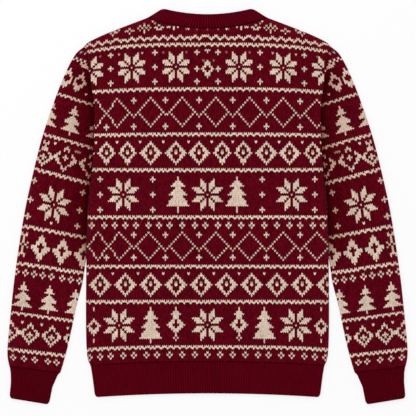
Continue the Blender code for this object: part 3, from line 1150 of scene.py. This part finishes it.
def makePanel(layer, neck):
    reach, wale = bodyKnit["reach"], bodyKnit["wale"]
    u = np.arange(0, (2 * reach + 1) * waleSteps + 1) / waleSteps
    fine = panelLook["capSteps"]
    v = [float(k) for k in range(panelLook["capFrom"])]
    for k in range(panelLook["capFrom"], bodyKnit["courses"]):
        v += [k + i / fine for i in range(fine)]
    v = np.array(v + [float(bodyKnit["courses"])])
    fromMiddle, bumpUp = waleShape(u)
    x = np.broadcast_to((u - reach - 0.5) * wale, (len(v), len(u))).copy()
    straight = bodyCourseY(v[:, None], x)
    courseTall = np.gradient(straight, v, axis=0)
    sheet = inQuarters(bodyPattern(), bodyKnit["stepSeed"])
    for row, column in partedTips:
        edge = waleSteps * (reach + column + 1)
        sheet[row, edge - 1 : edge + 1] = 0
    across, upward = nibbleGrid(sheet, v)
    y = straight + courseTall * (bodyKnit["chevron"] * (2 * fromMiddle - 0.5) + upward)
    x += across * wale
    y = np.maximum(y, hemY(x) + panelLook["hemRise"] * v[:, None])
    y[0] = hemY(x[0])
    index = np.arange(x.size).reshape(x.shape)
    trimTop(index, y, panelTop(x, neck))
    trimSides(index, x, y, straight)
    outer, _, _, _, sine = panelSurface(x, y, layer)
    lift = bumpUp[None] * np.clip(sine, 0, 1) ** 2
    lift[0] = 0
    outer = outer + lift if layer > 0 else outer - lift + relief["quarter"]
    points = np.stack([x, y, outer], axis=-1).reshape(-1, 3)
    colour = dyeOf(sheet)[np.floor(v[:-1] + 1e-6).astype(int)]
    uv = gridPlaces(u, v)
    faces, uvs, dye = gridFaces(index, colour, uv, flip=layer < 0)
    (top, topReach), (side, sideReach) = panelLook["shoulderLight"], panelLook["sideLight"]
    toTop = fadeOut(distanceTo(shoulderLine, x, y), topReach)
    toSide = fadeOut(bodyWidth(y) - np.abs(x), sideReach)
    shade = -top * toTop - side * (toSide * smoothStep(*panelLook["sideLightFrom"], y))
    knit = Knit()
    knit.add(points, faces, uvs, dye, shade)
    loop = boundaryLoops(knit.faces)[0]
    ringX, ringY, _ = points[loop].T
    _, rim, sideCos, topCos, _ = panelSurface(ringX, ringY, layer)
    plan = points[loop, :2] + cloth["wall"] * insetPanel(ringX, sideCos, topCos)

    def depthAt(px, py):
        return panelSurface(px, py, layer)[1]

    closeShell(knit, loop, plan, rim, depthAt, layer, lining["panelSpacing"])
    return knit


print("knitting the panels")
backPanel = makePanel(1, backNeck).finish("backPanelKnit", patternedKnit, 0.01)
frontPanel = makePanel(-1, frontNeck).finish("frontPanelKnit", patternedKnit, 0.01)
for piece, node, area in ((backPanel, "back_panel", 0.30), (frontPanel, "front_panel", 0.28)):
    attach(piece, "root")
    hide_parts(node)

# sleeves
sleeveLook = {
    "sag": 2.2,  # how much lower the sleeve lies along the body's side
    "sagReach": 32.0,
    # how much of that sag there is, by height
    "sagAt": ((-200.0, 0.0), (-120.0, 0.8), (-60.0, 1.0), (20.0, 1.0), (60.0, 0.0)),
    # shade from the body: how strong, and how far out from it
    "narrowShade": (0.55, 7.0),
    "wideShade": (0.35, 40.0),
    "shadeFrom": (-150.0, -40.0),
    "shadeTo": (230.0, 285.0),
    "shadeLoss": 0.75,
    "foldLight": (0.16, 14.0),  # how much lighter the outer fold is, and how far in
    "near": 0.1,  # vertices closer to the inner side move onto it
    "openRows": 6,  # the inner side is open from this many courses below the underarm
}


def sleeveShade(layer, toInner, distance, innerY):
    # in the body's shade along the inner side, and lighter along the outer fold
    (narrow, narrowReach), (wide, wideReach) = sleeveLook["narrowShade"], sleeveLook["wideShade"]
    beside = 1 - sleeveLook["shadeLoss"] * smoothStep(*sleeveLook["shadeTo"], innerY)
    beside = (smoothStep(*sleeveLook["shadeFrom"], innerY) * beside)[:, None]
    shade = narrow * np.exp(-toInner / narrowReach) + wide * fadeOut(toInner, wideReach)
    shade = np.clip(shade * beside, 0, 0.9) if layer > 0 else 0 * shade
    light, lightReach = sleeveLook["foldLight"]
    return shade - light * fadeOut(distance, lightReach)


def sleeveLayer(knit, layer, sideSign):
    wale, reach = sleeveKnit["wale"], sleeveKnit["reach"]
    u = np.arange(0, reach * waleSteps + 1) / waleSteps
    v = np.arange(sleeveKnit["courses"] + 1.0)
    outer, inner = courseEnds(v)
    run = inner - outer
    length = np.linalg.norm(run, axis=1)
    way = run / np.maximum(length, 1e-6)[:, None]
    way[-1] = way[-2]
    lean = layer * lookUp(sleeveKnit["lean"], v)[:, None] * smoothStep(0, 3, u)
    steps = (u + lean) * wale
    plan = outer[:, None] + way[:, None] * steps[..., None]
    fromMiddle, bumpUp = waleShape(u)
    tall = np.gradient(plan, axis=0)
    sheet = sleevePattern()
    sheet = sheet[:, reach:] if layer > 0 else sheet[:, reach - 1 :: -1]
    sheet = inQuarters(sheet, sleeveKnit["stepSeed"])
    across, upward = nibbleGrid(sheet, v)
    drop = sleeveKnit["chevron"] * (2 * fromMiddle[None] - 0.5) + upward
    drop[:, 0] = across[:, 0] = 0
    fade = np.ones(len(v))
    fade[[0, -2, -1]] = 0, 0.5, 0
    plan = plan + tall * (drop * fade[:, None])[..., None]
    plan = plan + way[:, None] * (across * wale)[..., None]
    distance = steps + across * wale
    index = np.arange(distance.size).reshape(distance.shape)
    beyond = steps >= length[:, None] - sleeveLook["near"]
    for r in range(len(v)):
        out = np.nonzero(beyond[r])[0]
        if len(out):
            plan[r, out], distance[r, out] = inner[r], length[r]
            index[r, out] = index[r, out[0]]
    index[-1] = index[-1, 0]
    toInner = np.maximum(length[:, None] - distance, 0)
    outerCos, outerSin = noseAt(distance)
    innerCos, innerSin = foldAt(toInner, inner[:, 1:])
    sine = outerSin * innerSin
    dip = lookUp(sleeveLook["sagAt"], inner[:, 1:]) * fadeOut(toInner, sleeveLook["sagReach"])
    half = (heightAt(plan[..., 0], plan[..., 1]) - sleeveLook["sag"] * dip) / 2
    outerZ = half + layer * half * sine
    innerZ = half + layer * (half - cloth["wall"]) * sine
    lift = bumpUp[None] * sine**2
    lift[0] = 0
    outerZ = outerZ + lift if layer > 0 else outerZ - lift + relief["quarter"] * sine
    shade = sleeveShade(layer, toInner, distance, inner[:, 1])
    uv = gridPlaces(u, v)
    mirror = np.array([sideSign, 1, 1])
    points = np.concatenate([plan, outerZ[..., None]], axis=-1).reshape(-1, 3) * mirror
    turned = (layer > 0) == (sideSign > 0)
    faces, uvs, dye = gridFaces(index, dyeOf(sheet), uv, flip=turned)
    loop = boundaryLoops(faces)[0]
    base = knit.add(points, faces, uvs, dye, shade)
    # the lining meets this layer only at the cuff seam and along the armhole
    inset = (outerCos - innerCos)[..., None] * way[:, None]
    lined = np.concatenate([plan + cloth["wall"] * inset, innerZ[..., None]], axis=-1)
    rim = (lined.reshape(-1, 3) * mirror)[loop]
    rows, columns = np.divmod(loop, len(u))
    levels = np.array(sleeveKnit["levels"])
    armholeRow = np.interp(cloth["sewn"][1], levels[:, 2], levels[:, 0])
    onFold = beyond[rows, columns] & (rows < armholeRow - sleeveLook["openRows"])
    isOpen = ~(onFold | (columns == 0)) | (rows == 0)

    def depthAt(px, py):
        flat = heightAt(px, py)
        return flat / 2 + layer * np.maximum(flat / 2 - cloth["wall"], lining["least"])

    loop = [base + i for i in loop]
    closeShell(knit, loop, rim[:, :2], rim[:, 2], depthAt, layer, lining["sleeveSpacing"], isOpen)


def makeSleeve(sideSign):
    knit = Knit()
    for layer in (1, -1):
        sleeveLayer(knit, layer, sideSign)
    return knit


print("knitting the sleeves")
for sideSign, label in ((-1, "left"), (1, "right")):
    name = "sleeve" + label.capitalize() + "Knit"
    piece = makeSleeve(sideSign).finish(name, patternedKnit, 0.01)
    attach(piece, "root")
    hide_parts("sleeve_" + label)

# ribbed bands
rib = {
    "raise": 0.95,  # how high the ribs stand
    "crest": 0.8,  # the lower, the wider they are
    "mean": 0.35,  # the share of their height that lies below the cloth's own surface
    "steps": 6,  # faces across a rib
    "course": 3.4,
    "corner": 5.5,  # rounding of the ends of the free edge, seen from above
    "edgeRows": (0.5, 1.4, 2.6, 4.2),  # more rows, this far from the free edge
    "roundReach": 2.2,  # how far the free edge's rounding and the seam's nip go
    "roundFrom": 0.4,
    "edgeThin": (1.0, 0.6),  # how far the edge's outside sinks and its inside rises
    "nip": 0.55,  # how much flatter the ribs are at the seam
    "pad": 0.65,  # how far the ribs below stand off the floor, as a share of raise
    "seamShade": 0.6,
    "nextShade": 0.12,
    "edgeShade": 0.45,
    "insideShade": 0.4,
    "insideValley": 0.5,
}
lineCount = 241  # places along each line of a band


def evenly(line):
    return along(line, np.linspace(0, travel(line)[-1], lineCount))[0]


def neckCurve(halfWidth, heightOf):
    x = halfWidth * np.cos(np.linspace(math.pi, 0, 121))
    return evenly(np.stack([x, heightOf(x)], axis=1))


def neckLines():
    px, py = collarPeak
    back, front = neckDrops["backEdge"], neckDrops["frontEdge"]
    edges = (lambda x: parabola(x, px, py - back, back), lambda x: ellipse(x, px, py, front))
    curves = ((neckPoint[0], (backNeck, frontNeck)), (px, edges))
    return [[neckCurve(halfWidth, curve) for curve in pair] for halfWidth, pair in curves]


def hemCourses():
    share = np.linspace(-1, 1, 81)
    lines = []
    for halfWidth, middle, side in hemLines:
        y = middle + (side - middle) * share**2
        lines.append([evenly(np.stack([share * halfWidth, y], axis=1))] * 2)
    return lines


def cuffCourses():
    return [[evenly(np.reshape(line, (2, 2)))] * 2 for line in cuffLines]


def bandRing(line, layer, pull, count, nip, edge):
    # the upper or lower half of a course's outer and inner ring
    length = travel(line)[-1]
    steps = np.linspace(pull, length - pull, count + 1)
    wave = 0.5 - 0.5 * np.cos(2 * math.pi * np.arange(count + 1) / rib["steps"])
    raised = rib["raise"] * (wave ** rib["crest"] - rib["mean"]) * nip
    if layer < 0:
        steps, raised = steps[-2:0:-1], raised[-2:0:-1]
    plan, heading = along(line, steps)
    cosine, sine = noseAt(np.minimum(steps, length - steps) - pull)
    inset = (cosine * np.where(steps < length / 2, 1, -1))[:, None] * heading
    half = heightAt(plan[:, 0], plan[:, 1]) / 2
    sink, lift = rib["edgeThin"]
    outerZ = half + layer * ((half - sink * (1 - edge)) * sine)
    outerZ = outerZ + layer * raised * sine
    innerZ = half + layer * (half - cloth["wall"] + lift * (1 - edge)) * sine
    if layer < 0:
        outerZ = np.maximum(outerZ + rib["raise"] * rib["pad"], 0.0)
    outer = np.column_stack([plan - inset * raised[:, None], outerZ])
    return outer, np.column_stack([plan + cloth["wall"] * inset, innerZ])


def makeBand(name, lines, look, valleyShade, sideSign=1):
    # a flattened ribbed tube, course by course from the seam to the free edge
    spans, middle = len(lines) - 1, lineCount // 2
    width = np.mean([np.linalg.norm(a[0][middle] - b[0][middle]) for a, b in zip(lines, lines[1:])])
    width *= spans
    places = np.linspace(0, spans, max(6, round(width / rib["course"])) + 1)
    nearEdge = spans * (1 - np.array(rib["edgeRows"]) / width)
    places = np.unique(np.concatenate([places, nearEdge]))
    count = round(travel(lines[0][0])[-1] / look["pitch"]) * rib["steps"]
    outerRows, innerRows = [], []
    for at in places:
        # the free edge rounds over, and the seam edge is nipped in
        fromSeam, fromEdge = width * at / spans, width * (1 - at / spans)
        edge = max(0.0, 1 - (fromEdge + rib["roundFrom"]) / rib["roundReach"])
        edge = math.sqrt(max(0.0, 1 - edge**2))
        nip = 1 - rib["nip"] * math.exp(-((fromSeam / rib["roundReach"]) ** 2))
        corner = rib["corner"]
        pull = corner - math.sqrt(max(0.0, corner**2 - max(0.0, corner - fromEdge) ** 2))
        low = min(int(at), spans - 1)
        halves = []
        for k, layer in ((0, 1), (1, -1)):
            line = lines[low][k] + (at - low) * (lines[low + 1][k] - lines[low][k])
            halves.append(bandRing(line, layer, pull, count, nip, edge))
        outerRing, innerRing = (np.concatenate(rings) for rings in zip(*halves))
        outerRows.append(outerRing)
        innerRows.append(innerRing)
    outer = np.array(outerRows)
    tall, around = outer.shape[:2]
    shadeRows = np.full((tall, around), look["darker"])
    shadeRows[0] = rib["seamShade"]
    shadeRows[1] += rib["nextShade"]
    shadeRows[-1] = rib["edgeShade"]
    shade = np.concatenate([shadeRows.reshape(-1), np.full(2 * around, rib["insideShade"])])
    points = np.concatenate([outer.reshape(-1, 3), innerRows[0], innerRows[-1]])
    faces, uvs, depth = [], [], []

    def addFace(low, high, c, spots, dark):
        # between two rings that start at low and high
        d = (c + 1) % around
        faces.append([low + c, low + d, high + d, high + c])
        uvs.append(spots)
        depth.append(dark)  # on ribs this attribute holds the painted shade of the valleys: how dark they are

    rise = places * width / spans / rib["course"]
    for r in range(tall - 1):
        low, high = rise[r], rise[r + 1]
        for c in range(around):
            left, right = c / rib["steps"], (c + 1) / rib["steps"]
            spots = [(left, low), (right, low), (right, high), (left, high)]
            addFace(r * around, (r + 1) * around, c, spots, valleyShade(outer[r, c, 0]))
    last, inside = (tall - 1) * around, tall * around
    for c in range(around):
        for low, high in ((inside, 0), (last, inside + around), (inside + around, inside)):
            addFace(low, high, c, [(c / rib["steps"], 0)] * 4, rib["insideValley"])
    if sideSign > 0:
        faces = [face[::-1] for face in faces]
        uvs = [ring[::-1] for ring in uvs]
    knit = Knit()
    knit.add(points * np.array([sideSign, 1, 1]), faces, uvs, depth, shade)
    return knit.finish(name, ribKnit)


print("knitting the ribbed bands")
# millimetres for each rib, how much darker the band is, and how dark its valleys are painted as shade
neckLook = {"pitch": 6.0, "darker": 0.0, "valleyShade": 0.86, "sideValley": 0.46, "reach": 75.0}
hemLook = {
    "pitch": 4.75,
    "darker": 0.13,
    "valleyShade": 0.62,
    "sideValley": 0.36,
    "middle": -12.0,
    "reach": 95.0,
    "patches": (19.0, 1.2, 7.3),  # lengths of two waves, with the shift of the first
}
cuffLook = {"pitch": 4.5, "darker": 0.17, "valleyShade": 0.55}


def neckValley(x):
    middle = math.exp(-((x / neckLook["reach"]) ** 2))
    return neckLook["sideValley"] + (neckLook["valleyShade"] - neckLook["sideValley"]) * middle


def hemValley(x):
    # the hem's ribs show most in its middle, and come and go: the painted shade in their valleys is
    # deepest there
    longer, shift, shorter = hemLook["patches"]
    patches = 0.5 + 0.5 * math.sin(x / longer + shift) * math.sin(x / shorter)
    middle = math.exp(-(((x - hemLook["middle"]) / hemLook["reach"]) ** 2))
    return hemLook["sideValley"] + (hemLook["valleyShade"] - hemLook["sideValley"]) * middle * patches


def cuffValley(x):
    return cuffLook["valleyShade"]


bands = {
    "neckband": (makeBand("neckbandRib", neckLines(), neckLook, neckValley), (0.48, 0.03)),
    "hem_band": (makeBand("hemRib", hemCourses(), hemLook, hemValley), (0.87, 0.062)),
}
for side, sideSign in (("left", -1), ("right", 1)):
    name = "cuff" + side.capitalize() + "Rib"
    cuff = makeBand(name, cuffCourses(), cuffLook, cuffValley, sideSign)
    bands["cuff_" + side] = (cuff, (0.172, 0.058))
for node, (piece, flat) in bands.items():
    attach(piece, "root")
    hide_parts(node)

# linking seams: a chain of small stitches along each seam
seam = {
    "spacing": 2.4,
    "long": 3.4,
    "wide": 2.0,
    "thick": 1.3,
    "leg": (0.25, 0.5),  # half a leg's width, along and across the seam
    "sway": 0.12,
    "seed": 5,
    "out": 0.3,  # how deep the chain lies in the upper layer
    "under": 0.85,  # and in the lower one
    "ends": (4.0, 1.5),  # how far from the lower and upper end the armhole's chain stops
}


def linkStitch():
    # one V of the chain, pointing along X: two tapered legs of eight faces each
    shape = bmesh.new()
    for side in (-1, 1):
        ends = [(-seam["long"] / 2, side * seam["wide"] / 2, 0), (seam["long"] / 2, 0, 0)]
        tail, tip = (shape.verts.new(Vector(end) * mm) for end in ends)
        middle = (tail.co + tip.co) / 2
        across = Vector((seam["leg"][0], seam["leg"][1] * side, 0)) * mm
        up = Vector((0, 0, seam["thick"] / 2)) * mm
        ring = [shape.verts.new(middle + way) for way in (across, up, -across, -up)]
        for a, b in zip(ring, ring[1:] + ring[:1]):
            shape.faces.new((tail, a, b))
            shape.faces.new((tip, b, a))
    bmesh.ops.recalc_face_normals(shape, faces=shape.faces)
    data = bpy.data.meshes.new("linkStitch")
    shape.to_mesh(data)
    shape.free()
    data.shade_smooth()
    return addObject("linkStitch", data)


def layerHeights(x, y, layer, sine):
    half = heightAt(x, y) / 2
    return half + layer * (half - (seam["out"] if layer > 0 else seam["under"])) * sine


def bandSeam(lines, sideSign=1):
    # round a band's seam, over the upper layer and back under the lower one
    loop = []
    for line, layer in zip(lines[0], (1, -1)):
        length = travel(line)[-1]
        steps = np.linspace(1, length - 1, round(length / 3))[::layer]
        plan, heading = along(line, steps)
        cosine, sine = noseAt(np.minimum(steps, length - steps))
        way = np.where(steps < length / 2, 1, -1) * cosine * seam["out"]
        plan = plan + way[:, None] * heading
        z = layerHeights(plan[:, 0], plan[:, 1], layer, sine)
        loop.append(np.column_stack([plan[:, 0] * sideSign, plan[:, 1], z]))
    return np.concatenate(loop)


def armholeSeam(sideSign):
    loop = []
    low, high = armhole[-1][0] + seam["ends"][0], armhole[0][0] - seam["ends"][1]
    for layer in (1, -1):
        y = np.linspace(low, high, 84)[::layer]
        x = bodyWidth(y) + cloth["seamGap"] / 2
        _, sine = noseAt(distanceTo(np.vstack([shoulderLine[:2], outerLine[:2]]), x, y))
        sine = sine * smoothStep(*cloth["sewn"], y)
        loop.append(np.column_stack([x * sideSign, y, layerHeights(x, y, layer, sine)]))
    return np.concatenate(loop)


def seamTree():
    # a path and a stitch in, a chain of slightly uneven stitches out
    inputs = (
        ("Path", "Geometry"),
        ("Stitch", "Object"),
        ("Yarn", "Material"),
        ("Spacing", "Float"),
        ("Sway", "Float"),
        ("Seed", "Int"),
    )
    outputs = (("Seam", "Geometry"),)
    tree, given, made = newGroup("linkingSeam", "GeometryNodeTree", inputs, outputs)
    add = partial(addNode, tree)
    curve = add("GeometryNodeMeshToCurve", {"Mesh": given["Path"]}).outputs["Curve"]
    even = {"Curve": curve, "Length": given["Spacing"]}
    even = add("GeometryNodeResampleCurve", even, mode="LENGTH").outputs["Curve"]
    stitch = add("GeometryNodeObjectInfo", {"Object": given["Stitch"]}).outputs["Geometry"]
    heading = add("GeometryNodeInputTangent").outputs[0]
    turn = add("FunctionNodeAlignRotationToVector", {"Vector": heading}, axis="X").outputs[0]
    level = {"Vector": (0, 0, 1), "Rotation": turn}
    level = add("FunctionNodeAlignRotationToVector", level, axis="Z", pivot_axis="X").outputs[0]
    least = mathNode(tree, "SUBTRACT", 1.0, given["Sway"])
    most = mathNode(tree, "ADD", 1.0, given["Sway"])
    size = add("FunctionNodeRandomValue", {2: least, 3: most, "Seed": given["Seed"]}).outputs[1]
    chain = {"Points": even, "Instance": stitch, "Rotation": level, "Scale": size}
    chain = add("GeometryNodeInstanceOnPoints", chain).outputs["Instances"]
    real = add("GeometryNodeRealizeInstances", {"Geometry": chain}).outputs["Geometry"]
    paint = add("GeometryNodeSetMaterial", {"Geometry": real, "Material": given["Yarn"]})
    fill(tree, made["Seam"], paint.outputs["Geometry"])
    return tree


def makeSeams(loops):
    points, edges = [], []
    for loop in loops:
        first, count = len(points), len(loop)
        points.extend((loop * mm).tolist())
        edges.extend((first + k, first + (k + 1) % count) for k in range(count))
    path = bpy.data.meshes.new("seamPath")
    path.from_pydata(points, edges, [])
    holder, stitch = addObject("seamPath", path), linkStitch()
    tree = seamTree()
    grow = holder.modifiers.new("linkingSeam", "NODES")
    grow.node_group = tree
    values = {"Stitch": stitch, "Yarn": seamYarn, "Spacing": seam["spacing"] * mm}
    values.update({"Sway": seam["sway"], "Seed": seam["seed"]})
    for item in tree.interface.items_tree:
        if item.in_out == "INPUT" and item.name in values:
            grow[item.identifier] = values[item.name]
    graph = bpy.context.evaluated_depsgraph_get()
    data = bpy.data.meshes.new_from_object(holder.evaluated_get(graph))
    data.name = "linkingSeams"
    made = addObject("linkingSeams", data)
    for helper in (holder, stitch):
        bpy.data.objects.remove(helper)
    return made


print("linking the seams")
seams = makeSeams([
    bandSeam(neckLines()), bandSeam(hemCourses()), bandSeam(cuffCourses(), -1),
    bandSeam(cuffCourses()), armholeSeam(-1), armholeSeam(1),
])
print("seam faces", len(seams.data.polygons))
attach(seams, "root")

# floor, light and camera
studio = {
    "floor": (0.2, 0.2, 0.2, 1.0),
    "floorHalf": 4.0,
    "floorRough": 0.9,
    "floorGlow": 0.768,  # a light table, so that the cloth throws almost no shadow
    "covered": (0.234, -0.1, 0.3),
    "world": 0.80,
    "softbox": 12.4,
    "softboxSize": (1.8, 1.4),
    "softboxPlace": (-0.5, 0.8, 1.8),
    "camera": (0.00095, -0.00285, 2.0),
    "viewWidth": 0.7904,
}
white = (1, 1, 1, 1)


def makeFloor():
    half = studio["floorHalf"]
    corners = [(x * half, y * half, 0) for x, y in ((-1, -1), (1, -1), (1, 1), (-1, 1))]
    data = bpy.data.meshes.new("studioFloor")
    data.from_pydata(corners, [], [(0, 1, 2, 3)])
    paint, tree = newMaterial("floorPaper")
    calc = partial(mathNode, tree)
    spot = addNode(tree, "ShaderNodeTexCoord").outputs["Object"]
    x, y, _ = addNode(tree, "ShaderNodeSeparateXYZ", {0: spot}).outputs
    # no glow where the body lies on it: a darker patch of floor, seen through the gaps between pieces
    # as painted shade
    halfX, lowY, highY = studio["covered"]
    beside = calc("GREATER_THAN", calc("ABSOLUTE", x), halfX)
    below, above = calc("LESS_THAN", y, lowY), calc("GREATER_THAN", y, highY)
    clear = calc("MAXIMUM", calc("MAXIMUM", beside, below), above)
    glow = calc("MULTIPLY", clear, studio["floorGlow"])
    finish = {"Base Color": studio["floor"], "Roughness": studio["floorRough"]}
    setSurface(tree, {**finish, "Emission Color": white, "Emission Strength": glow})
    data.materials.append(paint)
    floor = addObject("studioFloor", data)


def makeLight():
    world = bpy.data.worlds.new("studioWorld")
    world.use_nodes = True
    sky = world.node_tree.nodes["Background"].inputs
    sky["Color"].default_value, sky["Strength"].default_value = white, studio["world"]
    bpy.context.scene.world = world
    lamp = bpy.data.lights.new("softbox", "AREA")
    lamp.shape, lamp.energy = "RECTANGLE", studio["softbox"]
    lamp.size, lamp.size_y = studio["softboxSize"]
    softbox = addObject("softbox", lamp)
    softbox.location = studio["softboxPlace"]
    aim = Vector((0, 0, 0)) - softbox.location
    softbox.rotation_euler = aim.to_track_quat("-Z", "Y").to_euler()


def makeCamera():
    lens = bpy.data.cameras.new("overheadCamera")
    lens.type, lens.ortho_scale = "ORTHO", studio["viewWidth"]
    camera = addObject("overheadCamera", lens)
    camera.location = studio["camera"]
    bpy.context.scene.camera = camera


print("setting the floor, light and camera")
makeFloor()
makeLight()
makeCamera()
bpy.context.scene.view_settings.view_transform = "Standard"
bpy.context.scene.view_settings.look = "None"
